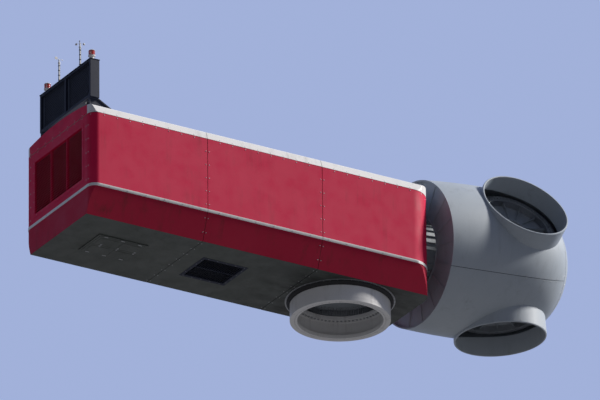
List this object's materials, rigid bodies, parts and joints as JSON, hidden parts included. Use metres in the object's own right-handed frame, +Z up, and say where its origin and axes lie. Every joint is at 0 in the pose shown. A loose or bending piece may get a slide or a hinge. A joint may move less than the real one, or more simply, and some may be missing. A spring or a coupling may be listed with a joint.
{
  "type": "wind turbine nacelle",
  "caption": "Machine house of a wind turbine: panelled housing with a raised rear radiator, yaw ring on the tower-top flange, and a turning hub and spinner with blade flanges.",
  "frame": {"origin": "centre of the underside of the tower-top flange, on the tower's axis", "axes": "+Z up along the tower's axis, +X forward towards the rotor, +Y to the nacelle's left side"},
  "size_m": [16.592, 5.299, 6.5003],
  "materials": {
    "red_paint": "satin red day-marking paint, lightly weathered",
    "light_grey_paint": "satin light grey coat",
    "under_paint": "dark grey coat, streaked with grime and oil",
    "dark_metal": "matt dark coat",
    "radiator": "dark coated fins",
    "cast_iron": "grey primed casting",
    "steel": "machined steel",
    "rubber": "matt black",
    "lamp": "clear red lens"
  },
  "bodies": {
    "tower_top": {"tower_top_ring": "light_grey_paint", "yaw_ring": "steel"},
    "nacelle": {"main_bearing_housing": "cast_iron", "roof_rear": "light_grey_paint", "side_left_rear": "red_paint", "side_right_rear": "red_paint", "lower_shell_rear": "under_paint", "roof_middle": "light_grey_paint", "side_left_middle": "red_paint", "side_right_middle": "red_paint", "lower_shell_middle": "under_paint", "roof_front": "light_grey_paint", "side_left_front": "red_paint", "side_right_front": "red_paint", "lower_shell_front": "under_paint", "front_wall": "red_paint", "rear_wall": "red_paint", "rear_grille": "red_paint", "floor_grille": "dark_metal", "main_frame": "cast_iron", "rear_frame": "cast_iron", "yaw_skirt": "rubber", "roof_hatch_front": "light_grey_paint", "roof_hatch_rear": "light_grey_paint", "floor_hatch": "under_paint", "cooler_frame": "dark_metal", "cooler_core_left": "radiator", "cooler_core_right": "radiator", "cooler_leg_left": "dark_metal", "cooler_leg_right": "dark_metal", "obstruction_light_left": "lamp", "obstruction_light_right": "lamp", "wind_sensors": "light_grey_paint"},
    "rotor": {"main_shaft": "steel", "hub_casting": "cast_iron", "spinner_segment_1": "light_grey_paint", "spinner_segment_2": "light_grey_paint", "spinner_segment_3": "light_grey_paint", "spinner_nose": "light_grey_paint", "spinner_back": "light_grey_paint"},
    "pitch_1": {"blade_flange_1": "steel"},
    "pitch_2": {"blade_flange_2": "steel"},
    "pitch_3": {"blade_flange_3": "steel"}
  },
  "joints": [
    {"name": "yaw", "type": "hinge", "parent": "tower_top", "child": "nacelle", "pos_m": [0, 0, 0.9], "axis": [0, 0, 1], "continuous": true},
    {"name": "rotor_spin", "type": "hinge", "parent": "nacelle", "child": "rotor", "pos_m": [5.2, 0, 2.9], "axis": [0.9962, 0, 0.0872], "continuous": true},
    {"name": "blade_pitch_1", "type": "hinge", "parent": "rotor", "child": "pitch_1", "pos_m": [5.2, 0, 2.9], "axis": [0.0872, 0, -0.9962], "range_deg": [0, 90]},
    {"name": "blade_pitch_2", "type": "hinge", "parent": "rotor", "child": "pitch_2", "pos_m": [5.2, 0, 2.9], "axis": [-0.0436, -0.866, 0.4981], "range_deg": [0, 90]},
    {"name": "blade_pitch_3", "type": "hinge", "parent": "rotor", "child": "pitch_3", "pos_m": [5.2, 0, 2.9], "axis": [-0.0436, 0.866, 0.4981], "range_deg": [0, 90]}
  ]
}
